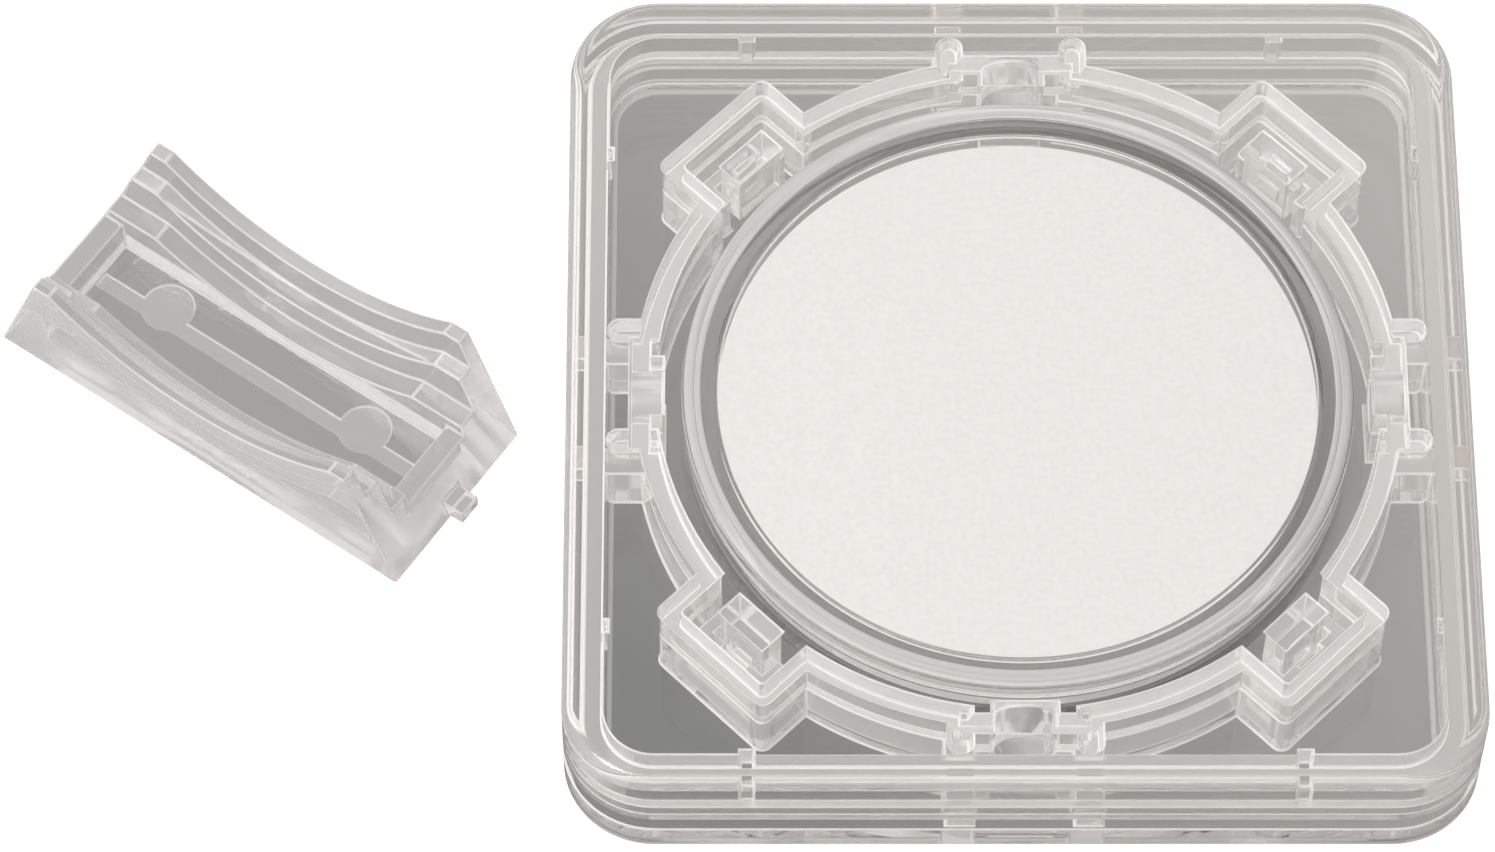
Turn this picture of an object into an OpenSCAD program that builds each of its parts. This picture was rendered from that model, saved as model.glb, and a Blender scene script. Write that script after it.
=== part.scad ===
// Square display case for one coin, with its round inner capsule, disc and stand.
// Origin: centre of the case's underside. X to the right, Y to the back, Z up. Millimetres.

/* [Coin space] */
// Diameter of the coin that the capsule takes
coin_d = 40; // [36:0.5:50]
// Clear height inside the closed capsule
coin_space_h = 3.3; // [2.6:0.1:6]
// Thickness of the white disc that fills the coin space
disc_t = 2.4; // [1:0.1:2.5]

/* [Capsule] */
// Width of the capsule's rim outside the coin
capsule_rim = 2.35; // [2.1:0.05:3]
// Thickness of each capsule lens
lens_t = 1.1; // [0.8:0.1:1.5]
// How far the upper lens lies below the rim
lens_drop = 0.4; // [0.2:0.1:0.8]
// Height of the capsule lid's outer skirt
skirt_h = 1.7; // [1.4:0.1:2]
// Rounding of the capsule's outer edges
rim_round = 0.5; // [0.2:0.1:0.6]

/* [Case] */
// Thickness of the base's floor
floor_t = 1; // [0.8:0.1:1.4]
// Height of the round seat that lifts the capsule off the floor
seat_h = 0.5; // [0.2:0.1:0.8]
// Thickness of the lid's window plate
plate_t = 1.4; // [1.2:0.1:2.2]
// Total thickness of the side wall
wall_t = 2.6; // [2.4:0.1:3.2]
// Thickness of the lid's outer lip
lip_t = 1.25; // [0.9:0.05:1.4]
// Outer corner radius in plan
corner_r = 6; // [5:0.5:9]
// Height of the base's outer flange
flange_h = 2.5; // [2:0.1:3]
// Height of the pry gap between flange and lid lip
pry_h = 1.4; // [0.8:0.1:1.7]
// Height of the seam between the inner walls of base and lid
seam_z = 4.9; // [4.8:0.1:5.9]
// Radius of the lid's upper outer edge
edge_r = 1; // [0.4:0.1:1.2]

/* [Ring wall] */
// Free space between the capsule and the ring wall
ring_room = 1.8; // [1.2:0.1:3]
// Thickness of the ring wall
ring_t = 1.3; // [0.9:0.1:1.8]
// Free space between the ring wall and the side wall
side_room = 1.95; // [1.5:0.05:8]
// How far a corner bracket reaches out from the ring wall
bracket_depth = 3.55; // [3.2:0.05:5]
// Width of a corner bracket across its diagonal
bracket_w = 9.9; // [9:0.1:12]
// Wall thickness of a corner bracket
bracket_t = 1.1; // [0.8:0.1:1.3]
// Spacing of the two ribs in the middle of each side
rib_pitch = 8.4; // [7.4:0.1:10]
// Thickness of those ribs in the lid, at the window plate
lid_rib_t = 1.6; // [1.2:0.1:1.8]
// Thickness of those ribs in the base
base_rib_t = 2; // [1.4:0.1:2.4]
// Diameter of the round finger window between the ribs
window_d = 3.9; // [3:0.1:4.4]

/* [Snap fit] */
// Wall thickness of the base's U-shaped socket
socket_t = 0.95; // [0.8:0.05:1.1]
// Gap between the socket and its bracket
socket_gap = 0.7; // [0.3:0.1:0.8]
// How far the lid's tongue enters the socket below the seam
tongue_reach = 2.2; // [1:0.1:3]
// Gap between the tongue and the socket round it
tongue_gap = 0.25; // [0.15:0.05:0.4]

/* [Stand] */
// Length of the stand's base
stand_l = 33.2; // [26:0.2:44]
// Width of the stand's base
stand_w = 13.9; // [13.7:0.1:18]
// Height of the stand at its ends
stand_h = 10.2; // [9:0.2:13]
// How far each end leans in from base to top
stand_lean = 3.7; // [2:0.1:5]
// Thickness of the stand's floor under the middle groove
stand_floor = 1.2; // [1:0.1:2]
// Thickness of the stand's outer walls
stand_wall = 1.1; // [0.8:0.1:1.6]
// Drop from an outer wall to the first ledge
ledge_1 = 2.4; // [1.5:0.1:3]
// Drop from an outer wall to the second ledge
ledge_2 = 5.4; // [3.5:0.1:5.6]
// Height of the outer walls and the first ledge's outer edge at mid-length
cradle_z = 6.5; // [6:0.1:8]
// Radius of the hollow top edges
cradle_r = 20; // [18:0.5:26]
// Turn of the stand in plan, in degrees
stand_turn = -34.9; // [-60:0.1:0]
// Free space between the stand and the case, measured along X
stand_room = 3.4; // [2:0.1:20]
// Place of the stand's centre, to the back of the case's centre
stand_y = 4.6; // [-20:0.1:20]

/* [Clearances] */
// Sideways gap between the lid's lip and the base's inner wall
lip_gap = 0.1; // [0.05:0.01:0.2]
// Gap at the inner seam
seam_gap = 0.1; // [0.05:0.01:0.2]
// Gap above the capsule
head_gap = 0.2; // [0.05:0.05:0.5]
// Gap around the disc
disc_gap = 0.25; // [0.1:0.05:0.4]
// Gap between the two capsule halves
capsule_gap = 0.08; // [0.04:0.01:0.1]
// Extra width of each groove of the stand
groove_gap = 0.1; // [0.05:0.05:0.5]

/* [Hidden] */
$fn = 160;
fine = 48;                               // segments of a small rounding
root = 0.2;                              // depth by which a feature is rooted in what carries it
over = 1;                                // how far a cutter reaches past what it cuts

// Heights inside the case
capsule_z = floor_t + seat_h;
capsule_h = 2*lens_t + coin_space_h + lens_drop;
capsule_top = capsule_z + capsule_h;
lid_under = capsule_top + head_gap;
case_h = lid_under + plate_t;
lip_z = flange_h + pry_h;
base_top = seam_z - seam_gap;

// Plan of the case, from the coin outwards
capsule_r = coin_d/2 + capsule_rim;
ring_in = capsule_r + ring_room;
ring_r = ring_in + ring_t;
cavity_w = 2*(ring_r + side_room);
case_w = cavity_w + 2*wall_t;
cavity_r = corner_r - wall_t;
inset = lip_t + lip_gap;                 // depth of the base's inner wall behind the flange
foot_bevel = 0.3;                        // bevel of the flange's lower edge
floor_fillet = 0.6;                      // hollow fillet where floor meets wall
seat_r = coin_d/2 - 1;

// Corner brackets with socket and tongue, in distances along the diagonal
bracket_out = ring_r + bracket_depth;
bracket_in_out = bracket_out - bracket_t;
bracket_in_w = bracket_w - 2*bracket_t;
bracket_round = [0.7, 0.4];              // outer and inner corners in plan
socket_w = bracket_in_w - 2*socket_gap;
socket_out = bracket_in_out - socket_gap;
socket_in = ring_in + 0.6;
socket_round = 0.4;
notch = [0.4, 2.1, 1.5];                 // slot in the socket's back wall, open at the top
tongue_w = socket_w - 2*socket_t - 2*tongue_gap;
tongue_out = socket_out - socket_t - tongue_gap;
tongue_in = ring_in;
tongue_dent = [0.6, 1.8, 1.4];           // catch recess in the tongue's back, level with the socket's top

// Middle of each side
lid_rib_z = lid_under - 1.6;             // lower edge of the lid's ribs
rib_draft = 0.27;                        // how much each side of a lid rib leans in by there
rib_room = 0.1;                          // gap between the lid's ribs and its wall
chord_out = ring_r + 0.3;                // outer face of the flat wall between two ribs
chord_t = 1.3;
pad_w = 4.3;                             // width of the thicker pad around the finger window
pad_t = 2.2;
crush_x = 18;                            // place of the small ribs inside the lid's wall
crush_w = 0.9;
crush_t = 0.35;
lug_w = 1.85;                            // lugs that carry the lid's lip across the pry gap
lug_back = 0.3;

// Capsule
capsule_seam = capsule_top - skirt_h;
coin_space_r = coin_d/2 + disc_gap;
spigot_r = capsule_r - 0.95;             // outer radius of the wall that the skirt slips over
rim_roof = 1;                            // thickness of the lid over that wall
lens_z = capsule_top - lens_drop;        // upper face of the upper lens
rim_step = 0.15;
rim_step_r = capsule_r - 1.25;
bevel = 0.25;
disc_z = capsule_z + lens_t;

// Stand: each groove takes one thickness
groove_1 = capsule_h + 2*groove_gap;
groove_2 = case_h + 2*groove_gap;
groove_3 = stand_w - 2*stand_wall;
cradle_2_z = stand_floor + 0.8;          // lowest point of the second ledge
cradle_2_r = cradle_r + 2;
end_wall_h = stand_floor + 2.8;
end_wall_t = 3;                          // measured at the base
stand_floor_l = stand_l - 2*end_wall_t;
mark_d = 3.6;                            // two round ejector marks sunk in the floor
mark_depth = 0.15;
mark_x = stand_l/4;
mark_y = 0.85;                           // how far the marks lie behind the middle
line_w = 1.1;                            // shallow line between the marks
line_l = stand_floor_l - 0.4;
nub = [1.1, 1.8, 1.2];                   // rest of the moulding gate on one end
nub_z = 0.4;                             // height of its underside
stand_half_x = stand_l/2*cos(stand_turn) + stand_w/2*abs(sin(stand_turn));
stand_x = -(case_w/2 + stand_room + stand_half_x);

// A rectangle with round corners, centred
module round_rect(w, d, r) {
    square([w - 2*r, d], center = true);
    square([w, d - 2*r], center = true);
    for (x = [-1, 1], y = [-1, 1]) {
        translate([x*(w/2 - r), y*(d/2 - r)]) circle(r);
    }
}

// Carries a wall section round the square case; x is 0 at the outer face
module around_case() {
    straight = case_w - 2*corner_r;
    for (turn = [0:90:270]) rotate(turn) {
        translate([case_w/2, straight/2, 0]) rotate([90, 0, 0]) linear_extrude(straight) children();
        translate([straight/2, straight/2, 0])
            rotate_extrude(angle = 90) translate([corner_r, 0]) children();
    }
}

// Section of the lid's wall: full thickness above the seam, a lip below it
module lid_section() {
    translate([-wall_t, seam_z]) square([wall_t, case_h - edge_r - seam_z]);
    translate([-wall_t, case_h - edge_r]) square([wall_t - edge_r, edge_r]);
    translate([-lip_t, lip_z]) square([lip_t, seam_z + root - lip_z]);
    translate([-edge_r, case_h - edge_r]) intersection() {
        circle(edge_r, $fn = fine);
        square(edge_r);
    }
}

// Section of the base's wall: outer flange, inset wall above it, hollow fillet at the floor
module base_section() {
    polygon([[-wall_t, 0], [-foot_bevel, 0], [0, foot_bevel], [0, flange_h], [-wall_t, flange_h]]);
    translate([-wall_t, flange_h - root]) square([wall_t - inset, base_top - flange_h + root]);
    translate([-wall_t - floor_fillet, floor_t]) difference() {
        translate([0, -root]) square(floor_fillet + root);
        translate([0, floor_fillet]) circle(floor_fillet, $fn = fine);
        translate([-floor_fillet, floor_fillet]) square(2*floor_fillet);
    }
}

// Places its child at each of the four corners, with x pointing out along the diagonal
module at_corners() {
    for (turn = [45:90:315]) rotate(turn) children();
}

// Places its child at the middle of each of the four sides, with y pointing outwards
module at_sides() {
    for (turn = [0:90:270]) rotate(turn) children();
}

// Plan of the ring wall: round wall, corner brackets, and a flat wall in the middle of each side
module ring_plan() {
    cut = ring_t + 2*over;
    difference() {
        circle(ring_r);
        circle(ring_in);
        at_corners() translate([ring_in - over, -bracket_in_w/2]) square([cut, bracket_in_w]);
        at_sides() translate([-rib_pitch/2, ring_in - over]) square([rib_pitch, cut]);
    }
    at_corners() difference() {
        translate([(ring_in + bracket_out)/2, 0])
            round_rect(bracket_out - ring_in, bracket_w, bracket_round[0], $fn = fine);
        translate([(ring_in - over + bracket_in_out)/2, 0])
            round_rect(bracket_in_out - ring_in + over, bracket_in_w, bracket_round[1], $fn = fine);
    }
    at_sides() {
        translate([-rib_pitch/2, chord_out - chord_t]) square([rib_pitch, chord_t]);
        translate([-pad_w/2, chord_out - pad_t]) square([pad_w, pad_t]);
    }
}

// Places its child at both ribs of each side, and cuts it back to the ring wall's inner face
module at_ribs() {
    difference() {
        at_sides() for (side = [-1, 1]) translate([side*rib_pitch/2, 0]) children();
        cylinder(h = case_h, r = ring_in);
    }
}

// The ring wall between two heights, with the round finger windows at the seam
module ring_wall(low, high) {
    difference() {
        translate([0, 0, low]) linear_extrude(high - low) ring_plan();
        at_sides() translate([0, chord_out + over, seam_z]) rotate([90, 0, 0])
            cylinder(h = pad_t + 2*over, d = window_d, $fn = 64);
    }
}

// Plain rib of the base, from the ring wall to the side wall
module base_rib() {
    translate([-base_rib_t/2, ring_in - over, floor_t - root])
        cube([base_rib_t, cavity_w/2 + root - ring_in + over, base_top - floor_t + root]);
}

// Tapered rib of the lid, with a round end that stays just clear of the side wall
module lid_rib() {
    foot = lid_rib_t/2 - rib_draft;
    end = cavity_w/2 - rib_room - lid_rib_t/2;
    translate([0, end, 0]) rotate([90, 0, 0]) linear_extrude(end - ring_in + over) polygon([
        [-foot, lid_rib_z], [foot, lid_rib_z], [lid_rib_t/2, lid_under], [lid_rib_t/2, lid_under + root],
        [-lid_rib_t/2, lid_under + root], [-lid_rib_t/2, lid_under]]);
    translate([0, end, lid_rib_z])
        cylinder(h = lid_under - lid_rib_z, r1 = foot, r2 = lid_rib_t/2, $fn = fine);
    translate([0, end, lid_under]) cylinder(h = root, r = lid_rib_t/2, $fn = fine);
}

// U-shaped socket on the base, inside a corner bracket and open to the middle
module snap_socket() {
    difference() {
        translate([0, 0, floor_t - root]) linear_extrude(base_top - floor_t + root) difference() {
            translate([(socket_in + socket_out)/2, 0])
                round_rect(socket_out - socket_in, socket_w, socket_round, $fn = fine);
            translate([socket_in - over, -socket_w/2 + socket_t])
                square([socket_out - socket_t - socket_in + over, socket_w - 2*socket_t]);
        }
        translate([socket_out - socket_t - over, -notch[1]/2, base_top - notch[2]])
            cube([notch[0] + over, notch[1], notch[2] + over]);
    }
}

// Tongue with a catch recess, hanging from the lid into a socket
module snap_tongue() {
    low = base_top - tongue_reach;
    difference() {
        translate([tongue_in, -tongue_w/2, low])
            cube([tongue_out - tongue_in, tongue_w, lid_under + root - low]);
        translate([tongue_out - tongue_dent[0], -tongue_dent[1]/2, base_top - tongue_dent[2]])
            cube([tongue_dent[0] + over, tongue_dent[1], tongue_dent[2]]);
    }
}

module case_base() {
    color([0.86, 0.87, 0.86, 0.45]) union() {
        linear_extrude(floor_t) round_rect(cavity_w, cavity_w, cavity_r);
        cylinder(h = capsule_z, r = seat_r);
        around_case() base_section();
        ring_wall(floor_t - root, base_top);
        at_ribs() base_rib();
        at_corners() snap_socket();
        at_sides() for (side = [-1, 1])
            translate([side*rib_pitch/2 - lug_w/2, case_w/2 - inset - root, flange_h - root])
                cube([lug_w, inset + root - lug_back, pry_h + root]);
    }
}

module case_lid() {
    color([0.9, 0.91, 0.9, 0.45]) union() {
        translate([0, 0, lid_under]) linear_extrude(plate_t) round_rect(cavity_w, cavity_w, cavity_r);
        around_case() lid_section();
        ring_wall(seam_z, lid_under + root);
        at_ribs() lid_rib();
        at_corners() snap_tongue();
        at_sides() for (side = [-1, 1])
            translate([side*crush_x - crush_w/2, cavity_w/2 - crush_t, seam_z])
                cube([crush_w, crush_t + root, lid_under + root - seam_z]);
    }
}

// Lower half of the capsule: lens, rim, and the spigot that the upper half slips over
module capsule_base() {
    color([0.88, 0.89, 0.89, 0.5]) rotate_extrude() difference() {
        union() {
            translate([0, capsule_z]) square([capsule_r - rim_round, rim_round]);
            translate([0, capsule_z + rim_round])
                square([capsule_r, capsule_seam - capsule_gap - capsule_z - rim_round]);
            translate([0, capsule_z]) square([spigot_r, capsule_top - rim_roof - capsule_gap - capsule_z]);
            translate([capsule_r - rim_round, capsule_z + rim_round]) circle(rim_round, $fn = fine);
        }
        translate([-over, disc_z]) square([coin_space_r + over, capsule_h]);
    }
}

// Upper half of the capsule: sunk lens, stepped and bevelled rim, and a skirt
module capsule_lid() {
    color([0.9, 0.91, 0.91, 0.5]) rotate_extrude() difference() {
        union() {
            translate([0, lens_z - lens_t]) square([coin_d/2, lens_t + root]);
            translate([coin_d/2 - root, capsule_top - rim_roof])
                square([capsule_r - rim_round - coin_d/2 + root, rim_roof]);
            translate([spigot_r + capsule_gap, capsule_seam])
                square([capsule_r - spigot_r - capsule_gap, skirt_h - rim_round]);
            translate([capsule_r - rim_round, capsule_top - rim_round]) circle(rim_round, $fn = fine);
        }
        polygon([[-over, lens_z], [coin_d/2, lens_z], [coin_d/2 + bevel, capsule_top - rim_step],
                 [rim_step_r, capsule_top - rim_step], [rim_step_r, capsule_top + over],
                 [-over, capsule_top + over]]);
    }
}

module insert_disc() {
    color("white") translate([0, 0, disc_z]) cylinder(h = disc_t, d = coin_d);
}

// Lengthwise slice of the stand on its back half, from one distance off the middle to another
module stand_slice(from, to) {
    translate([0, to, 0]) rotate([90, 0, 0]) linear_extrude(to - from) children();
}

// Side view of the stand up to one height: a block whose ends lean in
module leaning_block(top) {
    end_x = stand_l/2 - stand_lean*top/stand_h;
    polygon([[-stand_l/2, 0], [stand_l/2, 0], [end_x, top], [-end_x, top]]);
}

// Side view of one ledge: flat lands at the ends, and a round hollow between them
module cradle(top, low, r) {
    difference() {
        leaning_block(top);
        translate([0, low + r]) circle(r);
    }
}

// The stand's grooves as four slices on each side of the middle
module stand_body() {
    for (side = [0, 1]) mirror([0, side, 0]) {
        stand_slice(0, groove_1/2) difference() {
            leaning_block(end_wall_h);
            translate([-stand_floor_l/2, stand_floor]) square([stand_floor_l, end_wall_h]);
        }
        stand_slice(groove_1/2, groove_2/2) cradle(stand_h - ledge_2, cradle_2_z, cradle_2_r);
        stand_slice(groove_2/2, groove_3/2) cradle(stand_h - ledge_1, cradle_z - ledge_1, cradle_r);
        stand_slice(groove_3/2, stand_w/2) cradle(stand_h, cradle_z, cradle_r);
    }
}

module stand() {
    color([0.88, 0.89, 0.88, 0.5]) translate([stand_x, stand_y, 0]) rotate(stand_turn) {
        difference() {
            stand_body();
            translate([0, 0, stand_floor - mark_depth]) linear_extrude(over) {
                for (x = [-mark_x, mark_x]) translate([x, mark_y]) circle(d = mark_d, $fn = fine);
                square([line_l, line_w], center = true);
            }
        }
        translate([stand_l/2 - over, -nub[1]/2, nub_z]) cube([nub[0] + over, nub[1], nub[2]]);
    }
}

case_base();
case_lid();
capsule_base();
capsule_lid();
insert_disc();
stand();
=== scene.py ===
"""Looks of a clear square coin case, the round capsule inside it, and its cradle stand."""

from __future__ import annotations

import logging
import math
from dataclasses import dataclass, field
from enum import Enum

import bmesh
import bpy
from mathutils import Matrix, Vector


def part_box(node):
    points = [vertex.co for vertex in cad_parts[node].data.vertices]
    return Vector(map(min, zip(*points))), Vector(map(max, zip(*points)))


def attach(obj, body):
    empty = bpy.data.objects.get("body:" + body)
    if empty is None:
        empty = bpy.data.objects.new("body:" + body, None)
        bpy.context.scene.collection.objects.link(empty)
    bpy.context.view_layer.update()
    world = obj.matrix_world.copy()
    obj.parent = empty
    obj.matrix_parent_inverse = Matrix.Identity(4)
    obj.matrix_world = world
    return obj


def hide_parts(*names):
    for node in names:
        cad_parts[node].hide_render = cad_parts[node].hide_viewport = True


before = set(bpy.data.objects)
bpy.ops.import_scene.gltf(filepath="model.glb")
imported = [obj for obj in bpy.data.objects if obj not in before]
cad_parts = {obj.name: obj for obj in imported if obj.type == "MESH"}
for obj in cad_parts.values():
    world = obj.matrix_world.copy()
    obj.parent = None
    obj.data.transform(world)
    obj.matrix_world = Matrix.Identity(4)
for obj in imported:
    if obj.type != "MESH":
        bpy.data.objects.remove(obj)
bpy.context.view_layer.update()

MM = 0.001
LOG = logging.getLogger("coin_case")

# Corners closer than WELD are one, and turns under FLAT_TURN are no edge.
WELD = 0.002 * MM
FLAT_TURN = math.radians(0.3)
# A cut passes through corners that lie this close to it.
CUT_REACH = 1.5 * WELD
# Edges that turn by more than SHARP_TURN stay crisp where they aren't rounded.
SHARP_TURN = math.radians(50.0)
# A face is narrow where two of its edges pass within NARROW; TOUCHING ones are one place.
NARROW = 1.0 * MM
TOUCHING = 0.02 * MM
# Faces with fewer corners than this aren't searched for narrow places.
MANY_CORNERS = 5
# Edges run on into each other above this cosine, and one turns off above this sine.
RUNS_ON = 0.7
TURNS_OFF = 0.3
# How much more room for rounding an edge has than its neighbour, and how often it's evened out.
GROWTH = 1.2
PASSES = 8
# A step at an edge's end leaves this many times its length for rounding.
STEP_SHARE = 1.25
SHORTEST_STEP = 0.05 * MM
# A face whose upright part is above this cosine is level.
LEVEL = 0.99
# How strongly large faces set the shading of their corners, as the modifier counts it.
FACE_WEIGHT = 100
# Spacing of nodes in a drawn tree.
COLUMN_WIDTH = 180.0
# Detail of the noise behind the moulded waves.
WAVE_DETAIL = 1.5


# ---------------------------------------------------------------- node helpers


class Graph:
    """A node tree under construction, with short calls for adding and joining nodes."""

    def __init__(self, tree: bpy.types.NodeTree) -> None:
        """Starts from an empty tree.

        Args:
            tree: the tree to fill.
        """
        self.tree = tree
        tree.nodes.clear()
        self.column = 0

    def add(self, kind: str, **values: object) -> bpy.types.Node:
        """Adds a node and sets its properties and inputs.

        Args:
            kind: the node's type name.
            values: properties by name, or inputs as in_NAME with underscores for spaces.

        Returns:
            The new node.
        """
        node = self.tree.nodes.new(kind)
        node.location = (self.column * COLUMN_WIDTH, 0.0)
        self.column += 1
        for key, value in values.items():
            if key.startswith("in_"):
                node.inputs[key[3:].replace("_", " ")].default_value = value
            else:
                setattr(node, key, value)
        return node

    def join(self, source: bpy.types.NodeSocket, target: bpy.types.NodeSocket) -> None:
        """Links an output to an input."""
        self.tree.links.new(source, target)


def new_material(name: str) -> tuple[bpy.types.Material, Graph]:
    """Makes an empty node material.

    Args:
        name: the material's name.

    Returns:
        The material and its graph.
    """
    material = bpy.data.materials.new(name)
    material.use_nodes = True
    return material, Graph(material.node_tree)


# ---------------------------------------------------------------- finishes


class Zone(Enum):
    """Where on a moulding a face lies; the value is its material's place in the list."""

    WINDOW = 0
    WALL = 1
    EDGE = 2
    INNER = 3


def moulded_waves() -> bpy.types.ShaderNodeTree:
    """Gives the node group for the faint unevenness of moulded plastic.

    Returns:
        A group with Size and Depth inputs and a Height output, in metres.
    """
    name = "moulded_waves"
    if name in bpy.data.node_groups:
        return bpy.data.node_groups[name]
    tree = bpy.data.node_groups.new(name, "ShaderNodeTree")
    graph = Graph(tree)
    for socket, start in (("Size", 9.0 * MM), ("Depth", 1.0 * MM)):
        made = tree.interface.new_socket(socket, in_out="INPUT", socket_type="NodeSocketFloat")
        made.default_value = start
    tree.interface.new_socket("Height", in_out="OUTPUT", socket_type="NodeSocketFloat")
    given = graph.add("NodeGroupInput")
    place = graph.add("ShaderNodeTexCoord")
    scale = graph.add("ShaderNodeMath", operation="DIVIDE", in_Value=1.0)
    graph.join(given.outputs["Size"], scale.inputs[1])
    flow = graph.add("ShaderNodeTexNoise", in_Detail=WAVE_DETAIL)
    graph.join(place.outputs["Object"], flow.inputs["Vector"])
    graph.join(scale.outputs[0], flow.inputs["Scale"])
    height = graph.add("ShaderNodeMath", operation="MULTIPLY")
    graph.join(flow.outputs["Fac"], height.inputs[0])
    graph.join(given.outputs["Depth"], height.inputs[1])
    result = graph.add("NodeGroupOutput")
    graph.join(height.outputs[0], result.inputs["Height"])
    return tree


@dataclass(frozen=True)
class ClearPlastic:
    """Clear moulding plastic that lets most of each shadow and diffuse ray straight through."""

    name: str
    tint: tuple[float, float, float]
    clearness: float = 1.0
    roughness: float = 0.0
    ior: float = 1.5
    lamp_share: float = 0.985
    wave_depth: float = 0.0012 * MM
    wave_size: float = 9.0 * MM

    def material(self) -> bpy.types.Material:
        """Builds the material.

        Returns:
            A glass-like Principled surface, open to light on its way to a lamp.
        """
        material, graph = new_material(self.name)
        waves = graph.add("ShaderNodeGroup", node_tree=moulded_waves())
        waves.inputs["Size"].default_value = self.wave_size
        waves.inputs["Depth"].default_value = self.wave_depth
        bump = graph.add("ShaderNodeBump", in_Strength=1.0, in_Distance=1.0)
        graph.join(waves.outputs["Height"], bump.inputs["Height"])
        plastic = graph.add(
            "ShaderNodeBsdfPrincipled",
            in_Base_Color=(*self.tint, 1.0),
            in_Roughness=self.roughness,
            in_IOR=self.ior,
            in_Transmission_Weight=self.clearness,
        )
        graph.join(bump.outputs["Normal"], plastic.inputs["Normal"])
        path = graph.add("ShaderNodeLightPath")
        share = self.lamp_share
        open_side = graph.add("ShaderNodeBsdfTransparent", in_Color=(share, share, share, 1.0))
        surface = plastic.outputs[0]
        for ray in ("Is Shadow Ray", "Is Diffuse Ray"):
            mix = graph.add("ShaderNodeMixShader")
            graph.join(path.outputs[ray], mix.inputs[0])
            graph.join(surface, mix.inputs[1])
            graph.join(open_side.outputs[0], mix.inputs[2])
            surface = mix.outputs[0]
        output = graph.add("ShaderNodeOutputMaterial")
        graph.join(surface, output.inputs["Surface"])
        return material


@dataclass(frozen=True)
class FoamSheet:
    """Matte white sheet with a fine closed-cell grain."""

    name: str
    light: tuple[float, float, float]
    dark: tuple[float, float, float]
    grain: float = 0.35 * MM
    detail: float = 3.0
    spread: tuple[float, float] = (0.32, 0.6)
    relief: float = 0.03 * MM
    relief_share: float = 0.15
    roughness: float = 0.75

    def material(self) -> bpy.types.Material:
        """Builds the material.

        Returns:
            A rough white surface with faint speckle and relief.
        """
        material, graph = new_material(self.name)
        place = graph.add("ShaderNodeTexCoord")
        cells = graph.add("ShaderNodeTexNoise", in_Scale=1.0 / self.grain, in_Detail=self.detail)
        graph.join(place.outputs["Object"], cells.inputs["Vector"])
        ramp = graph.add("ShaderNodeValToRGB")
        colours = (self.dark, self.light)
        for stop, position, colour in zip(ramp.color_ramp.elements, self.spread, colours):
            stop.position = position
            stop.color = (*colour, 1.0)
        graph.join(cells.outputs["Fac"], ramp.inputs["Fac"])
        share, depth = self.relief_share, self.relief
        bump = graph.add("ShaderNodeBump", in_Strength=share, in_Distance=depth)
        graph.join(cells.outputs["Fac"], bump.inputs["Height"])
        sheet = graph.add("ShaderNodeBsdfPrincipled", in_Roughness=self.roughness)
        graph.join(ramp.outputs["Color"], sheet.inputs["Base Color"])
        graph.join(bump.outputs["Normal"], sheet.inputs["Normal"])
        output = graph.add("ShaderNodeOutputMaterial")
        graph.join(sheet.outputs[0], output.inputs["Surface"])
        return material


# ---------------------------------------------------------------- mouldings


def apply_modifiers(piece: bpy.types.Object) -> None:
    """Turns a piece into the plain mesh that its modifiers make, and removes them."""
    bpy.context.view_layer.update()
    shaped = piece.evaluated_get(bpy.context.evaluated_depsgraph_get())
    mesh = bpy.data.meshes.new_from_object(shaped)
    piece.modifiers.clear()
    piece.data = mesh


def level_normals(piece: bpy.types.Object) -> None:
    """Makes flat faces shade flat up to their rounded edges, and unrounded edges sharp."""
    piece.data.set_sharp_from_angle(angle=SHARP_TURN)
    level = piece.modifiers.new("flats", "WEIGHTED_NORMAL")
    level.keep_sharp = True
    level.weight = FACE_WEIGHT
    apply_modifiers(piece)


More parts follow.
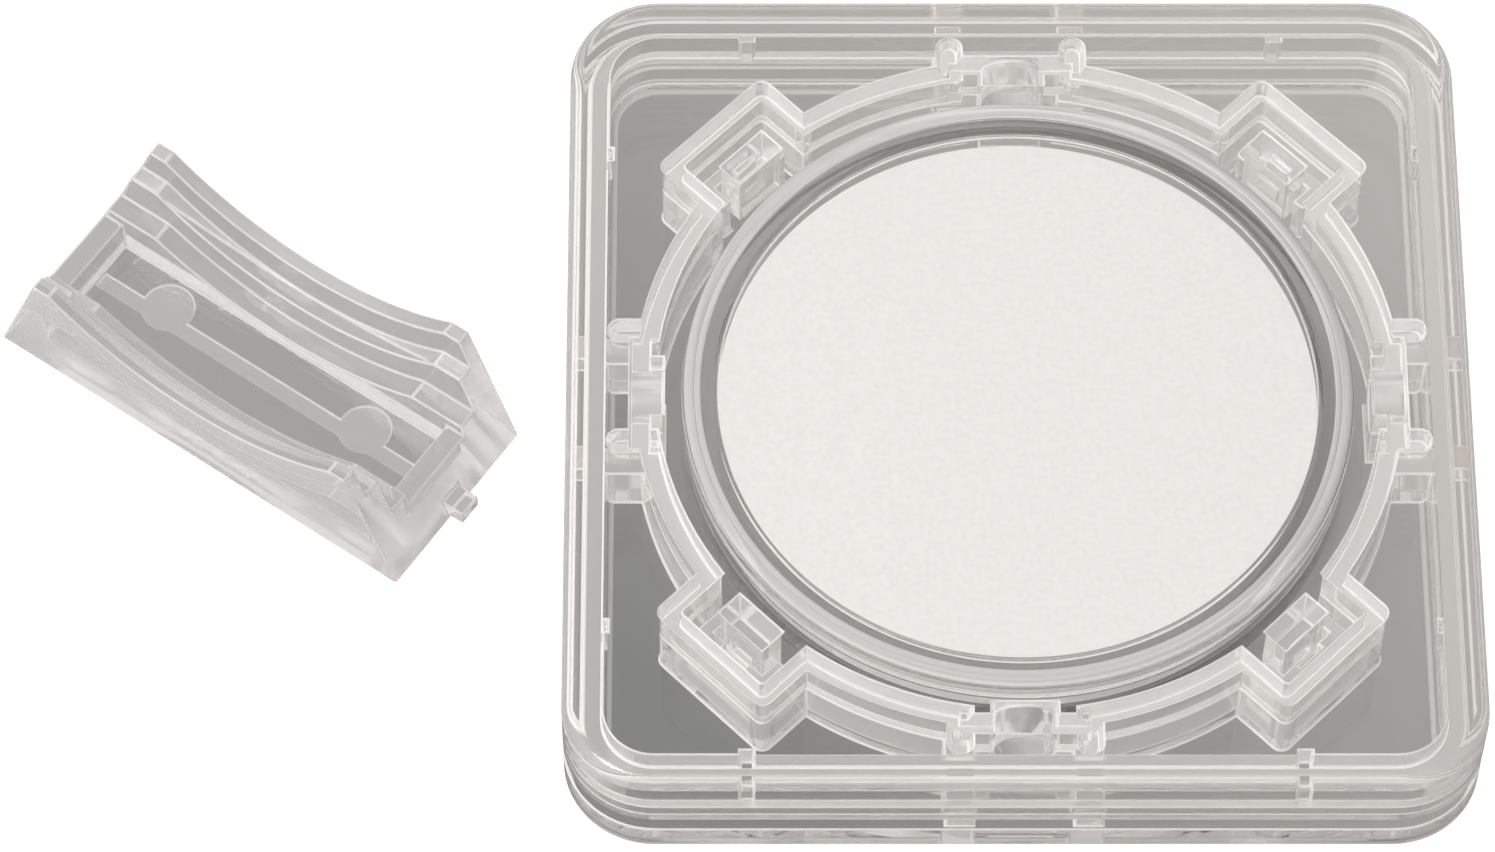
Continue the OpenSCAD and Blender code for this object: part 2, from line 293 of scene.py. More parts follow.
@dataclass
class Moulding:
    """One moulded piece: a CAD node's shape with its edges rounded.

    Edges sharper than sharp_from are rounded, by at most edge_round and at most a share of the
    face beside them. Level faces at the heights in windows get the first finish, and other faces
    near the middle the last one. Where inner_reach is given, both lie within it.
    """

    node: str
    body: str
    slot: str
    edge_round: float = 0.1 * MM
    edge_segments: int = 2
    sharp_from: float = math.radians(28.0)
    most_of_face: float = 0.35
    windows: tuple[float, ...] = ()
    inner_reach: float = 0.0
    middle: tuple[float, float] = (0.0, 0.0)
    cuts: tuple[float, ...] = (0.0, math.pi / 4, math.pi / 2, 3 * math.pi / 4)

    def merged_mesh(self) -> bpy.types.Mesh:
        """Copies the node's mesh, joins its loose triangles and weighs its sharp edges.

        Returns:
            A closed mesh whose flat faces are whole, with each sharp edge's share of the rounding.
        """
        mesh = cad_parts[self.node].data.copy()
        mesh.name = self.node + "_moulded"
        mesh.materials.clear()
        work = bmesh.new()
        work.from_mesh(mesh)
        bmesh.ops.remove_doubles(work, verts=work.verts, dist=WELD)
        bmesh.ops.dissolve_degenerate(work, edges=work.edges, dist=WELD)
        self.cut_through_middle(work)
        bmesh.ops.dissolve_limit(
            work,
            angle_limit=FLAT_TURN,
            verts=work.verts,
            edges=work.edges,
            delimit={"SEAM"},
        )
        weights = work.edges.layers.float.new("bevel_weight_edge")
        gaps = self.narrow_gaps(work)
        rooms: dict[bmesh.types.BMEdge, float] = {}
        for edge in work.edges:
            if edge.is_manifold and edge.calc_face_angle(0.0) > self.sharp_from:
                room = min(self.face_depth(edge, face) for face in edge.link_faces)
                room = min(room, self.end_room(edge), gaps.get(edge, room))
                rooms[edge] = min(room, self.edge_round / self.most_of_face)
        self.even_out(rooms)
        for edge, room in rooms.items():
            edge[weights] = min(1.0, self.most_of_face * room / self.edge_round)
        work.to_mesh(mesh)
        work.free()
        return mesh

    def cut_through_middle(self, work: bmesh.types.BMesh) -> None:
        """Cuts the faces along upright planes, so that none has to close round a hole.

        Args:
            work: the merged mesh; the cuts are marked as seams.
        """
        for turn in self.cuts:
            normal = (-math.sin(turn), math.cos(turn), 0.0)
            parts = [*work.verts, *work.edges, *work.faces]
            cut = bmesh.ops.bisect_plane(
                work, geom=parts, dist=CUT_REACH, plane_co=(*self.middle, 0.0), plane_no=normal
            )
            for part in cut["geom_cut"]:
                if isinstance(part, bmesh.types.BMEdge):
                    part.seam = True

    @staticmethod
    def even_out(rooms: dict[bmesh.types.BMEdge, float]) -> None:
        """Lets the room for rounding grow only gradually from one edge to the next.

        Args:
            rooms: the room at each sharp edge, which is cut down where a neighbour has less.
        """
        runs = {edge: (edge.verts[1].co - edge.verts[0].co).normalized() for edge in rooms}
        for _ in range(PASSES):
            for edge, along in runs.items():
                for corner in edge.verts:
                    for other in corner.link_edges:
                        if other in rooms and abs(along.dot(runs[other])) > RUNS_ON:
                            rooms[edge] = min(rooms[edge], GROWTH * rooms[other])

    @staticmethod
    def face_depth(edge: bmesh.types.BMEdge, face: bmesh.types.BMFace) -> float:
        """Measures how far a face reaches from one of its edges.

        Args:
            edge: an edge of the face.
            face: the face.

        Returns:
            The distance of the face's farthest corner from the edge's line.
        """
        start = edge.verts[0].co
        along = (edge.verts[1].co - start).normalized()
        return max((corner.co - start).cross(along).length for corner in face.verts)

    @staticmethod
    def narrow_gaps(work: bmesh.types.BMesh) -> dict[bmesh.types.BMEdge, float]:
        """Finds where a face is narrow between a long edge and another corner's edges.

        Args:
            work: the merged mesh.

        Returns:
            The narrowest gap beside each edge that has a narrow one.
        """
        gaps: dict[bmesh.types.BMEdge, float] = {}
        for face in work.faces:
            if len(face.verts) < MANY_CORNERS:
                continue
            for edge in face.edges:
                length = edge.calc_length()
                if length < NARROW:
                    continue
                start = edge.verts[0].co
                along = (edge.verts[1].co - start) / length
                for loop in face.loops:
                    away = loop.vert.co - start
                    gap = away.cross(along).length
                    narrow = TOUCHING < gap < NARROW
                    if narrow and 0.0 < away.dot(along) < length:
                        for near in (edge, loop.edge, loop.link_loop_prev.edge):
                            gaps[near] = min(gaps.get(near, gap), gap)
        return gaps

    @staticmethod
    def end_room(edge: bmesh.types.BMEdge) -> float:
        """Measures how much room the short steps at an edge's ends leave for its rounding."""
        room = 1.0
        along = (edge.verts[1].co - edge.verts[0].co).normalized()
        for corner in edge.verts:
            for other in corner.link_edges:
                side = other.other_vert(corner).co - corner.co
                turned = side.normalized().cross(along).length > TURNS_OFF
                if other is not edge and turned and side.length > SHORTEST_STEP:
                    room = min(room, STEP_SHARE * side.length)
        return room

    def zone(self, face: bpy.types.MeshPolygon) -> Zone:
        """Tells which zone a face outside the rounded edges lies in."""
        inside = max(abs(face.center.x), abs(face.center.y)) < self.inner_reach
        flat = abs(face.normal.z) > LEVEL
        if flat and any(abs(face.center.z - z) < TOUCHING for z in self.windows):
            return Zone.WINDOW if inside or not self.inner_reach else Zone.WALL
        return Zone.INNER if inside else Zone.WALL

    def build(self, *materials: bpy.types.Material) -> bpy.types.Object:
        """Makes the finished piece and hands it to the frame.

        Args:
            materials: the finishes in the order of Zone.

        Returns:
            The piece.
        """
        piece = bpy.data.objects.new(self.node + "_piece", self.merged_mesh())
        bpy.context.scene.collection.objects.link(piece)
        piece.data.shade_smooth()
        bevel = piece.modifiers.new("edges", "BEVEL")
        bevel.width = self.edge_round
        bevel.segments = self.edge_segments
        bevel.limit_method = "WEIGHT"
        bevel.use_clamp_overlap = False
        bevel.loop_slide = False
        for material in materials:
            piece.data.materials.append(material)
        bevel.material = Zone.EDGE.value
        apply_modifiers(piece)
        level_normals(piece)
        mesh = piece.data
        for face in mesh.polygons:
            if face.material_index == Zone.WINDOW.value:
                face.material_index = self.zone(face).value
        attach(piece, self.body)
        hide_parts(self.node)
        LOG.info("%s: %d faces", piece.name, len(mesh.polygons))
        return piece


@dataclass
class Turned:
    """A round piece, turned about the case's upright middle line from its half section.

    Each point of the section has its radius, its height and its corner's rounding. These and the
    bounds of the rim's finish are in millimetres.
    """

    node: str
    body: str
    slot: str
    section: tuple[tuple[float, float, float], ...]
    rim_from: float = 1000.0
    rim_above: float = 0.0
    segments: int = 256
    corner_steps: int = 4
    axis_radius: float = 0.001 * MM
    axis_weld: float = 0.004 * MM

    def tree(self) -> bpy.types.GeometryNodeTree:
        """Gives the node tree that rounds a section's corners and turns it into a solid.

        Returns:
            The tree, with inputs for the number of segments, the steps of each corner, the
            finish, and the finish of what lies beyond a given radius and height.
        """
        name = "turned_section"
        if name in bpy.data.node_groups:
            return bpy.data.node_groups[name]
        tree = bpy.data.node_groups.new(name, "GeometryNodeTree")
        graph = Graph(tree)
        kinds = {
            "Geometry": "NodeSocketGeometry",
            "Segments": "NodeSocketInt",
            "Corner Steps": "NodeSocketInt",
            "Rim From": "NodeSocketFloat",
            "Rim Above": "NodeSocketFloat",
            "Finish": "NodeSocketMaterial",
            "Rim Finish": "NodeSocketMaterial",
        }
        for label, kind in kinds.items():
            tree.interface.new_socket(label, in_out="INPUT", socket_type=kind)
        tree.interface.new_socket("Geometry", in_out="OUTPUT", socket_type="NodeSocketGeometry")
        given = graph.add("NodeGroupInput")
        outline = graph.add("GeometryNodeMeshToCurve")
        graph.join(given.outputs["Geometry"], outline.inputs["Mesh"])
        radius = graph.add("GeometryNodeInputNamedAttribute", data_type="FLOAT")
        radius.inputs["Name"].default_value = "rounding"
        corners = graph.add("GeometryNodeFilletCurve", mode="POLY", in_Limit_Radius=True)
        graph.join(outline.outputs["Curve"], corners.inputs["Curve"])
        graph.join(radius.outputs["Attribute"], corners.inputs["Radius"])
        graph.join(given.outputs["Corner Steps"], corners.inputs["Count"])
        circle = graph.add("GeometryNodeCurvePrimitiveCircle", in_Radius=self.axis_radius)
        graph.join(given.outputs["Segments"], circle.inputs["Resolution"])
        swept = graph.add("GeometryNodeCurveToMesh")
        graph.join(circle.outputs["Curve"], swept.inputs["Curve"])
        graph.join(corners.outputs["Curve"], swept.inputs["Profile Curve"])
        closed = graph.add("GeometryNodeMergeByDistance", in_Distance=self.axis_weld)
        graph.join(swept.outputs["Mesh"], closed.inputs["Geometry"])
        smooth = graph.add("GeometryNodeSetShadeSmooth")
        graph.join(closed.outputs["Geometry"], smooth.inputs["Geometry"])
        whole = graph.add("GeometryNodeRealizeInstances")
        graph.join(smooth.outputs["Geometry"], whole.inputs["Geometry"])
        finish = graph.add("GeometryNodeSetMaterial")
        graph.join(whole.outputs["Geometry"], finish.inputs["Geometry"])
        graph.join(given.outputs["Finish"], finish.inputs["Material"])
        place = graph.add("GeometryNodeInputPosition").outputs[0]
        flat = graph.add("ShaderNodeVectorMath", operation="MULTIPLY")
        flat.inputs[1].default_value = (1.0, 1.0, 0.0)
        graph.join(place, flat.inputs[0])
        reach = graph.add("ShaderNodeVectorMath", operation="LENGTH")
        graph.join(flat.outputs[0], reach.inputs[0])
        beyond = graph.add("FunctionNodeCompare", data_type="FLOAT", operation="GREATER_THAN")
        graph.join(reach.outputs["Value"], beyond.inputs["A"])
        graph.join(given.outputs["Rim From"], beyond.inputs["B"])
        split = graph.add("ShaderNodeSeparateXYZ")
        graph.join(place, split.inputs[0])
        above = graph.add("FunctionNodeCompare", data_type="FLOAT", operation="GREATER_THAN")
        graph.join(split.outputs["Z"], above.inputs["A"])
        graph.join(given.outputs["Rim Above"], above.inputs["B"])
        both = graph.add("FunctionNodeBooleanMath", operation="AND")
        graph.join(beyond.outputs[0], both.inputs[0])
        graph.join(above.outputs[0], both.inputs[1])
        rim = graph.add("GeometryNodeSetMaterial")
        graph.join(finish.outputs["Geometry"], rim.inputs["Geometry"])
        graph.join(both.outputs[0], rim.inputs["Selection"])
        graph.join(given.outputs["Rim Finish"], rim.inputs["Material"])
        result = graph.add("NodeGroupOutput")
        graph.join(rim.outputs["Geometry"], result.inputs["Geometry"])
        return tree

    def outline(self) -> bpy.types.Mesh:
        """Draws the half section as a chain of edges with each corner's rounding.

        Returns:
            The chain, with radius along X and height down Y, as the sweep takes it.
        """
        mesh = bpy.data.meshes.new(self.node + "_section")
        links = [(index, index + 1) for index in range(len(self.section) - 1)]
        mesh.from_pydata([(r * MM, -z * MM, 0.0) for r, z, _ in self.section], links, [])
        rounding = mesh.attributes.new("rounding", "FLOAT", "POINT")
        for index, (_, _, radius) in enumerate(self.section):
            rounding.data[index].value = radius * MM
        return mesh

    def build(self, material: bpy.types.Material, rim: bpy.types.Material) -> bpy.types.Object:
        """Makes the finished piece and hands it to the frame.

        Args:
            material: the finish of its faces.
            rim: the finish of its rim.

        Returns:
            The piece.
        """
        piece = bpy.data.objects.new(self.node + "_piece", self.outline())
        bpy.context.scene.collection.objects.link(piece)
        turning = piece.modifiers.new("turning", "NODES")
        turning.node_group = self.tree()
        values = {
            "Segments": self.segments,
            "Corner Steps": self.corner_steps,
            "Rim From": self.rim_from * MM,
            "Rim Above": self.rim_above * MM,
            "Finish": material,
            "Rim Finish": rim,
        }
        for item in turning.node_group.interface.items_tree:
            if item.in_out == "INPUT" and item.name in values:
                turning[item.identifier] = values[item.name]
        apply_modifiers(piece)
        self.face_outwards(piece.data)
        level_normals(piece)
        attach(piece, self.body)
        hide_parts(self.node)
        LOG.info("%s: %d faces", piece.name, len(piece.data.polygons))
        return piece

    @staticmethod
    def face_outwards(mesh: bpy.types.Mesh) -> None:
        """Turns the faces outwards if the solid came out inside out."""
        mesh.calc_loop_triangles()
        volume = 0.0
        for triangle in mesh.loop_triangles:
            first, second, third = (mesh.vertices[index].co for index in triangle.vertices)
            volume += first.dot(second.cross(third)) / 6.0
        if volume < 0.0:
            mesh.flip_normals()


@dataclass
class SquareCase:
    """The square snap case: base and lid, with polished windows between satin walls."""

    floor_top: float = 1.0 * MM
    seat_top: float = 1.5 * MM
    plate: float = 1.4 * MM
    inner_reach: float = 27.2 * MM
    edge_round: float = 0.13 * MM
    finish: ClearPlastic = ClearPlastic("case_windows", (0.985, 0.99, 0.985))
    wall_finish: ClearPlastic = ClearPlastic("case_walls", (0.885, 0.866, 0.853), 0.9, 0.05)
    inner_finish: ClearPlastic = ClearPlastic("case_ring", (0.985, 0.966, 0.952), 0.73, 0.06)
    edge_finish: ClearPlastic = ClearPlastic("case_edges", (0.99, 0.965, 0.945), 0.35, 0.25)
    pieces: list[bpy.types.Object] = field(default_factory=list)

    def build(self) -> None:
        """Builds both shells."""
        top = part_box("case_lid")[1][2]
        heights = {
            "case_base": (0.0, self.floor_top, self.seat_top),
            "case_lid": (top, top - self.plate),
        }
        order = (self.finish, self.wall_finish, self.edge_finish, self.inner_finish)
        finishes = [finish.material() for finish in order]
        for node, windows in heights.items():
            shell = Moulding(node, node, "case_clear", self.edge_round, windows=windows)
            shell.inner_reach = self.inner_reach
            self.pieces.append(shell.build(*finishes))


@dataclass
class RoundCapsule:
    """The round capsule with the disc in it; sizes in millimetres."""

    radius: float = 22.35
    coin_radius: float = 20.0
    disc_gap: float = 0.25
    lens: float = 1.1
    lens_drop: float = 0.4
    skirt: float = 1.7
    roof: float = 1.0
    spigot_radius: float = 21.4
    half_gap: float = 0.08
    outer_round: float = 0.5
    rim_step: float = 0.15
    rim_step_radius: float = 21.1
    groove_radius: float = 21.5
    groove_depth: float = 0.08
    groove_round: float = 0.01
    chamfer: float = 0.25
    crisp: float = 0.07
    disc_round: float = 0.06
    satin_reach: float = 0.1
    satin_depth: float = 0.12
    finish: ClearPlastic = ClearPlastic("capsule_plastic", (0.985, 0.985, 0.98))
    rim_finish: ClearPlastic = ClearPlastic("capsule_rim", (0.99, 0.975, 0.965), 0.58, 0.06)
    disc_finish: FoamSheet = FoamSheet("white_sheet", (0.87, 0.85, 0.83), (0.82, 0.8, 0.78))
    pieces: list[bpy.types.Object] = field(default_factory=list)

    def lower_section(self, low: float, top: float) -> tuple[tuple[float, float, float], ...]:
        """Gives the lower half's section: lens, rim and the spigot inside the skirt."""
        seam = top - self.skirt - self.half_gap
        under_roof = top - self.roof - self.half_gap
        space = self.coin_radius + self.disc_gap
        return (
            (0.0, low, 0.0),
            (self.radius, low, self.outer_round),
            (self.radius, seam, self.crisp),
            (self.spigot_radius, seam, self.crisp),
            (self.spigot_radius, under_roof, self.crisp),
            (space, under_roof, self.crisp),
            (space, low + self.lens, self.crisp),
            (0.0, low + self.lens, 0.0),
        )

    def upper_section(self, top: float) -> tuple[tuple[float, float, float], ...]:
        """Gives the upper half's section: sunk lens, stepped rim and skirt."""
        face = top - self.lens_drop
        skirt_in = self.spigot_radius + self.half_gap
        return (
            (0.0, face - self.lens, 0.0),
            (self.coin_radius, face - self.lens, self.crisp),
            (self.coin_radius, top - self.roof, self.crisp),
            (skirt_in, top - self.roof, self.crisp),
            (skirt_in, top - self.skirt, self.crisp),
            (self.radius, top - self.skirt, self.crisp),
            (self.radius, top, self.outer_round),
            (self.groove_radius + self.groove_depth, top, self.groove_round),
            (self.groove_radius, top - self.groove_depth, self.groove_round),
            (self.groove_radius - self.groove_depth, top, self.groove_round),
            (self.rim_step_radius, top, self.crisp),
            (self.rim_step_radius, top - self.rim_step, self.crisp),
            (self.coin_radius + self.chamfer, top - self.rim_step, self.crisp),
            (self.coin_radius, face, self.crisp),
            (0.0, face, 0.0),
        )

    def build(self) -> None:
        """Builds both halves and the disc."""
        low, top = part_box("capsule_base")[0][2] / MM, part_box("capsule_lid")[1][2] / MM
        bottom, face = (corner[2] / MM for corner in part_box("insert_disc"))
        edge = self.coin_radius
        disc = (
            (0.0, bottom, 0.0),
            (edge, bottom, self.disc_round),
            (edge, face, self.disc_round),
            (0.0, face, 0.0),
        )
        clear, rim = self.finish.material(), self.rim_finish.material()
        white = self.disc_finish.material()
        for node, slot, section, *finishes in (
            ("capsule_base", "capsule_clear", self.lower_section(low, top), clear, rim),
            ("capsule_lid", "capsule_clear", self.upper_section(top), clear, rim),
            ("insert_disc", "insert_white", disc, white, white),
        ):
            piece = Turned(node, node, slot, section)
            piece.rim_from = self.rim_step_radius - self.satin_reach
            piece.rim_above = top - self.satin_depth
            self.pieces.append(piece.build(*finishes))


@dataclass
class CradleStand:
    """The stepped cradle stand."""

    floor_top: float = 1.2 * MM
    turn: float = math.radians(-34.9)
    edge_round: float = 0.14 * MM
    finish: ClearPlastic = ClearPlastic("stand_floor", (0.985, 0.985, 0.98))
    wall_finish: ClearPlastic = ClearPlastic("stand_walls", (0.985, 0.962, 0.95), 0.85, 0.08)
    edge_finish: ClearPlastic = ClearPlastic("stand_edges", (0.99, 0.965, 0.95), 0.6, 0.15)
    pieces: list[bpy.types.Object] = field(default_factory=list)

    def build(self) -> None:
        """Builds the stand."""
        order = (self.finish, self.wall_finish, self.edge_finish)
        finishes = [finish.material() for finish in order]
        block = Moulding("stand", "stand", "stand_clear", self.edge_round)
        block.windows = (self.floor_top,)
        low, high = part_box("stand")
        block.middle = ((low[0] + high[0]) / 2, (low[1] + high[1]) / 2)
        block.cuts = (self.turn, self.turn + math.pi / 2)
        self.pieces.append(block.build(*finishes))


# ---------------------------------------------------------------- studio


@dataclass(frozen=True)
class ShadeCard:
    """A patch of painted shadow on the table, with the distances over which it fades outside its
    edge.
    """

    middle: tuple[float, float]
    half: tuple[float, float]
    turn: float
    depth: float
    fade_from: float
    fade_to: float


@dataclass(frozen=True)
class Lamp:
    """A square soft lamp that faces the case: its place, its width and its power in watts."""

    name: str
    place: tuple[float, float, float]
    size: float
    power: float

    def build(self) -> None:
        """Adds the lamp, unseen by rays that leave the plastic, where it shows as a patch."""
        data = bpy.data.lights.new(self.name, "AREA")
        data.size = self.size
        data.energy = self.power
        lamp = bpy.data.objects.new(self.name, data)
        lamp.location = self.place
        lamp.rotation_euler = (-Vector(self.place)).to_track_quat("-Z", "Y").to_euler()
        lamp.visible_transmission = False
        bpy.context.scene.collection.objects.link(lamp)


@dataclass
class Studio:
    """Camera, lamps, sky and the pale table with the painted shade under the pieces that the
    plastic shows.
    """

    elevation: float = 60.658
    camera_place: tuple[float, float, float] = (-17.958 * MM, -222.81 * MM, 398.98 * MM)
    lens: float = 163.29
    sensor: float = 36.0
    clip: tuple[float, float] = (10 * MM, 10.0)
    lamps: tuple[Lamp, ...] = (
        Lamp("overhead", (-0.3, -0.1, 0.75), 0.25, 2.25),
        Lamp("left_fill", (-0.6, 0.1, 0.4), 0.8, 2.6),
    )
    bounces: int = 64
    transparent_bounces: int = 24
    sky_strength: float = 0.9
    sky_up: tuple[float, float, float] = (-0.02, -0.28, 0.96)
    horizon: tuple[float, float, float] = (0.1, 0.1, 0.095)
    horizon_top: float = 0.2
    sky_levels: tuple[tuple[float, float], ...] = ((0.34, 0.55), (0.6, 0.9), (1.0, 0.8))
    sky_tint: tuple[float, float, float] = (1.0, 0.985, 0.97)
    dim_side: tuple[float, float, float] = (0.8, 0.6, 0.0)
    dim_reach: tuple[float, float] = (0.15, 0.9)
    dim_share: float = 0.35
    table_drop: float = 0.05 * MM
    table_half: float = 3.0
    table_glow: float = 0.82
    # Painted shade: seen through the plastic or in it, the table glows less, standing in for the
    # pieces' shadow round them.
    painted_shade_glow: float = 0.3
    table_matte: tuple[float, float, float] = (0.3, 0.3, 0.3)
    table_dull: tuple[float, float, float] = (0.6, 0.6, 0.59)
    # Painted shade under the pieces, grey from dark at the front left to light at the back right.
    shade_card_dark: tuple[float, float, float] = (0.145, 0.145, 0.136)
    shade_card_light: tuple[float, float, float] = (0.435, 0.416, 0.402)
    shade_card_slope: tuple[float, float, float] = (0.72, 0.69, 0.0)
    # Patches of painted shadow under the case and the stand, and how far they fade out round them.
    case_shade_rim: float = 2.75 * MM
    case_shade_middle: tuple[float, float] = (4.2 * MM, 5.0 * MM)
    case_shade_fade: tuple[float, float] = (0.5 * MM, 25.0 * MM)
    stand_shade_shift: tuple[float, float] = (2.86 * MM, 4.1 * MM)
    stand_shade_half: tuple[float, float] = (17.0 * MM, 7.0 * MM)
    stand_shade_turn: float = math.radians(34.9)
    stand_shade_depth: float = 0.9
    stand_shade_fade: tuple[float, float] = (2.0 * MM, 9.0 * MM)

    def camera(self) -> None:
        """Places the camera."""
        data = bpy.data.cameras.new("camera")
        data.lens = self.lens
        data.sensor_width = self.sensor
        data.clip_start, data.clip_end = self.clip
        camera = bpy.data.objects.new("camera", data)
        camera.location = self.camera_place
        camera.rotation_euler = (math.radians(90.0 - self.elevation), 0.0, 0.0)
        bpy.context.scene.collection.objects.link(camera)
        bpy.context.scene.camera = camera

    def sky(self) -> None:
        """Lights the scene from all round: a white tent over a dim horizon.

        Height is measured against a tilted upright, so the tent reaches lower at the front, and
        the tent is dimmer towards one side.
        """
        world = bpy.data.worlds.new("studio")
        bpy.context.scene.world = world
        world.use_nodes = True
        graph = Graph(world.node_tree)
        place = graph.add("ShaderNodeTexCoord")
        height = graph.add("ShaderNodeVectorMath", operation="DOT_PRODUCT")
        height.inputs[1].default_value = self.sky_up
        graph.join(place.outputs["Generated"], height.inputs[0])
        ramp = graph.add("ShaderNodeValToRGB")
        stops = ramp.color_ramp.elements
        for stop, position in zip((stops[0], stops[1]), (0.0, self.horizon_top)):
            stop.color = (*self.horizon, 1.0)
            stop.position = position
        for position, level in self.sky_levels:
            stops.new(position).color = (*(level * share for share in self.sky_tint), 1.0)
        graph.join(height.outputs["Value"], ramp.inputs["Fac"])
        side = graph.add("ShaderNodeVectorMath", operation="DOT_PRODUCT")
        side.inputs[1].default_value = self.dim_side
        graph.join(place.outputs["Generated"], side.inputs[0])
        dim = graph.add("ShaderNodeMapRange", interpolation_type="SMOOTHSTEP")
        dim.inputs["From Min"].default_value = self.dim_reach[0]
        dim.inputs["From Max"].default_value = self.dim_reach[1]
        dim.inputs["To Min"].default_value = self.sky_strength
        dim.inputs["To Max"].default_value = self.sky_strength * self.dim_share
        graph.join(side.outputs["Value"], dim.inputs["Value"])
        light = graph.add("ShaderNodeBackground")
        graph.join(dim.outputs["Result"], light.inputs["Strength"])
        graph.join(ramp.outputs["Color"], light.inputs["Color"])
        output = graph.add("ShaderNodeOutputWorld")
        graph.join(light.outputs[0], output.inputs["Surface"])

    def shade_card(self, graph: Graph, place: bpy.types.NodeSocket, shade_card: ShadeCard) -> bpy.types.NodeSocket:
        """Draws the mask of one patch of painted shadow on the table, which fades out round its
        edge.

        Args:
            graph: the table's material.
            place: the table's coordinates.
            shade_card: the patch's place and size.

        Returns:
            A value that is the patch's depth on it and falls to 0 around it.
        """
        turn = graph.add("ShaderNodeVectorRotate", rotation_type="Z_AXIS", in_Angle=shade_card.turn)
        turn.inputs["Center"].default_value = (*shade_card.middle, 0.0)
        graph.join(place, turn.inputs["Vector"])
        steps = (
            ("SUBTRACT", (*shade_card.middle, 0.0)),
            ("ABSOLUTE", None),
            ("SUBTRACT", (*shade_card.half, 0.0)),
            ("MAXIMUM", (0.0, 0.0, 0.0)),
            ("MULTIPLY", (1.0, 1.0, 0.0)),
            ("LENGTH", None),
        )
        value = turn.outputs[0]
        for operation, other in steps:
            step = graph.add("ShaderNodeVectorMath", operation=operation)
            if other is not None:
                step.inputs[1].default_value = other
            graph.join(value, step.inputs[0])
            value = step.outputs["Value" if operation == "LENGTH" else "Vector"]
        fade = graph.add("ShaderNodeMapRange", interpolation_type="SMOOTHSTEP")
        fade.inputs["From Min"].default_value = shade_card.fade_to
        fade.inputs["From Max"].default_value = shade_card.fade_from
        fade.inputs["To Max"].default_value = shade_card.depth
        graph.join(value, fade.inputs["Value"])
        return fade.outputs["Result"]

    def shade(self, graph: Graph, place: bpy.types.NodeSocket) -> bpy.types.NodeSocket:
        """Gives the painted shade under the pieces its grey, painted darker towards the front
        left.

        Args:
            graph: the table's material.
            place: the table's coordinates.

        Returns:
            The colour.
        """
        along = graph.add("ShaderNodeVectorMath", operation="DOT_PRODUCT")
        along.inputs[1].default_value = self.shade_card_slope
        graph.join(place, along.inputs[0])
        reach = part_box("case_base")[1][0]
        across = graph.add("ShaderNodeMapRange")
        across.inputs["From Min"].default_value = -reach
        across.inputs["From Max"].default_value = reach
        graph.join(along.outputs["Value"], across.inputs["Value"])
        ramp = graph.add("ShaderNodeValToRGB")
        ramp.color_ramp.elements[0].color = (*self.shade_card_dark, 1.0)
        ramp.color_ramp.elements[1].color = (*self.shade_card_light, 1.0)
        graph.join(across.outputs["Result"], ramp.inputs["Fac"])
        return ramp.outputs["Color"]

    def table(self) -> None:
        """Adds the white table, which shows painted grey shade through the plastic that lies on
        it.
        """
        mesh = bpy.data.meshes.new("table")
        reach = self.table_half
        corners = [(-reach, -reach), (reach, -reach), (reach, reach), (-reach, reach)]
        mesh.from_pydata([(x, y, -self.table_drop) for x, y in corners], [], [(0, 1, 2, 3)])
        table = bpy.data.objects.new("table", mesh)
        bpy.context.scene.collection.objects.link(table)
        material, graph = new_material("table")
        place = graph.add("ShaderNodeTexCoord").outputs["Object"]
        # Painted shade: grey that stands in for the shadow under the pieces; it also takes real
        # shadows from the lamps.
        painted_shade = graph.add("ShaderNodeBsdfDiffuse")
        graph.join(self.shade(graph, place), painted_shade.inputs["Color"])
        matte = graph.add("ShaderNodeBsdfDiffuse", in_Color=(*self.table_matte, 1.0))
        pale, shaded_behind = (graph.add("ShaderNodeAddShader") for _ in range(2))
        for sheet, strength in ((pale, self.table_glow), (shaded_behind, self.painted_shade_glow)):
            glow = graph.add("ShaderNodeEmission", in_Strength=strength)
            graph.join(glow.outputs[0], sheet.inputs[0])
            graph.join(matte.outputs[0], sheet.inputs[1])
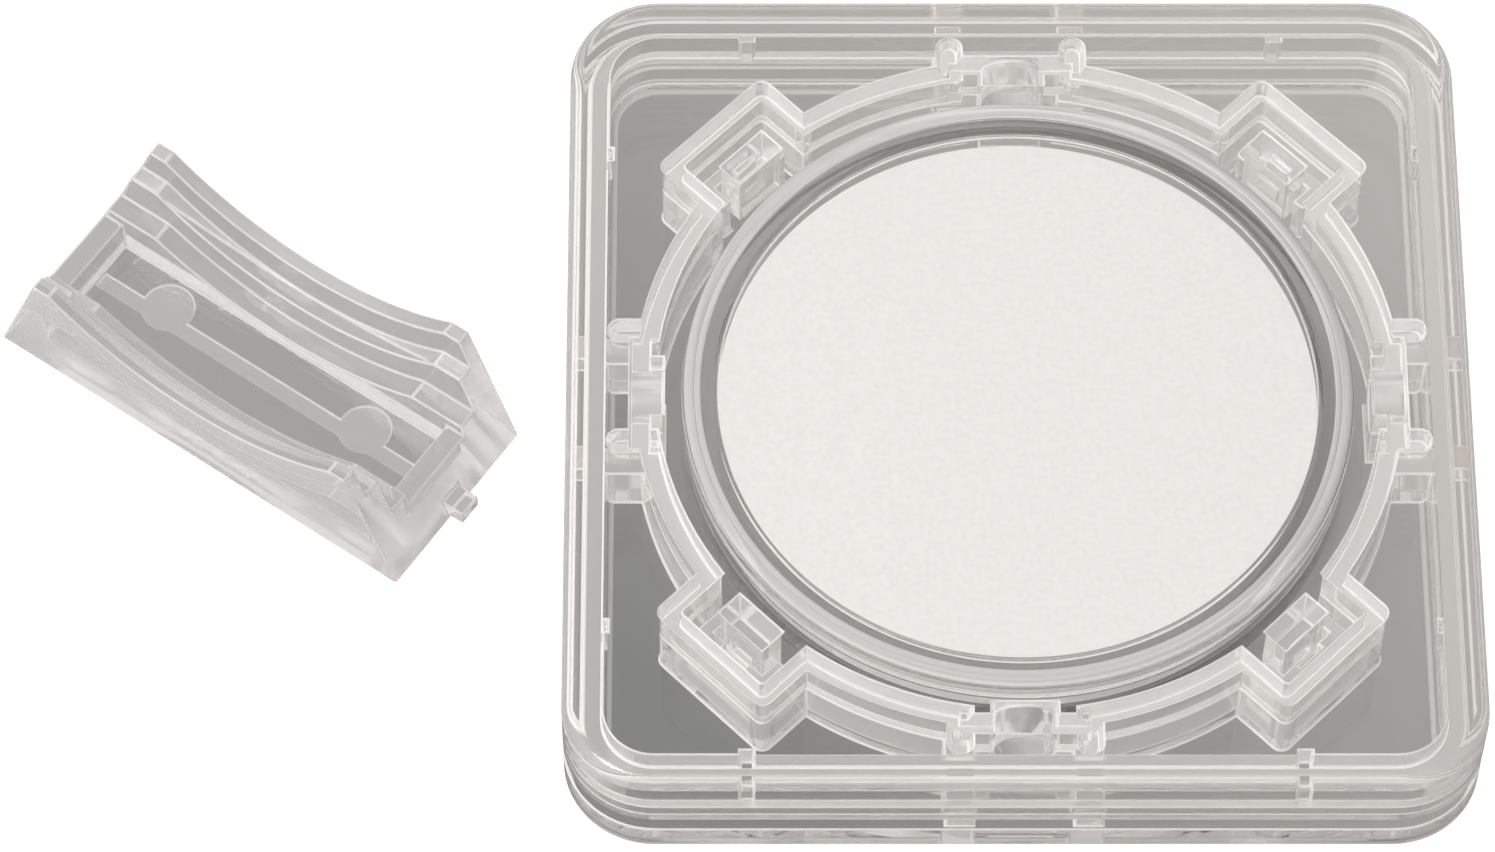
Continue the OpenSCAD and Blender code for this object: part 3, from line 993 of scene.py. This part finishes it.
        # Rays through the plastic see the painted shade on the patches and the dimmer table round
        # them.
        shade_masks = [self.shade_card(graph, place, shade_card) for shade_card in self.shade_cards()]
        both = graph.add("ShaderNodeMath", operation="MAXIMUM")
        graph.join(shade_masks[0], both.inputs[0])
        graph.join(shade_masks[1], both.inputs[1])
        through = graph.add("ShaderNodeMixShader")
        graph.join(both.outputs[0], through.inputs[0])
        graph.join(shaded_behind.outputs[0], through.inputs[1])
        graph.join(painted_shade.outputs[0], through.inputs[2])
        dull = graph.add("ShaderNodeBsdfDiffuse", in_Color=(*self.table_dull, 1.0))
        path = graph.add("ShaderNodeLightPath")
        surface = dull.outputs[0]
        sides = {
            "Is Transmission Ray": through.outputs[0],
            "Is Glossy Ray": through.outputs[0],
            "Is Camera Ray": pale.outputs[0],
        }
        for ray, side in sides.items():
            mix = graph.add("ShaderNodeMixShader")
            graph.join(path.outputs[ray], mix.inputs[0])
            graph.join(surface, mix.inputs[1])
            graph.join(side, mix.inputs[2])
            surface = mix.outputs[0]
        output = graph.add("ShaderNodeOutputMaterial")
        graph.join(surface, output.inputs["Surface"])
        mesh.materials.append(material)

    def shade_cards(self) -> tuple[ShadeCard, ShadeCard]:
        """Gives the patches of painted shadow under the case and under the stand."""
        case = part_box("case_base")
        half = (case[1][0] - case[0][0]) / 2 + self.case_shade_rim
        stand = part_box("stand")
        shift = self.stand_shade_shift
        middle = tuple((stand[0][axis] + stand[1][axis]) / 2 + shift[axis] for axis in (0, 1))
        return (
            ShadeCard(self.case_shade_middle, (half, half), 0.0, 1.0, *self.case_shade_fade),
            ShadeCard(
                middle,
                self.stand_shade_half,
                self.stand_shade_turn,
                self.stand_shade_depth,
                *self.stand_shade_fade,
            ),
        )

    def build(self) -> None:
        """Sets up the whole studio."""
        self.camera()
        for lamp in self.lamps:
            lamp.build()
        self.sky()
        self.table()
        scene = bpy.context.scene
        scene.view_settings.view_transform = "Standard"
        scene.cycles.max_bounces = self.bounces
        scene.cycles.transmission_bounces = self.bounces
        scene.cycles.glossy_bounces = self.bounces
        scene.cycles.transparent_max_bounces = self.transparent_bounces


def main() -> None:
    """Builds the studio and every assembly, and logs the pieces of each."""
    logging.basicConfig(level=logging.INFO, format="%(message)s")
    Studio().build()
    for assembly in (SquareCase(), RoundCapsule(), CradleStand()):
        assembly.build()
        names = ", ".join(piece.name for piece in assembly.pieces)
        LOG.info("%s: %s", type(assembly).__name__, names)


if __name__ == "__main__":
    main()
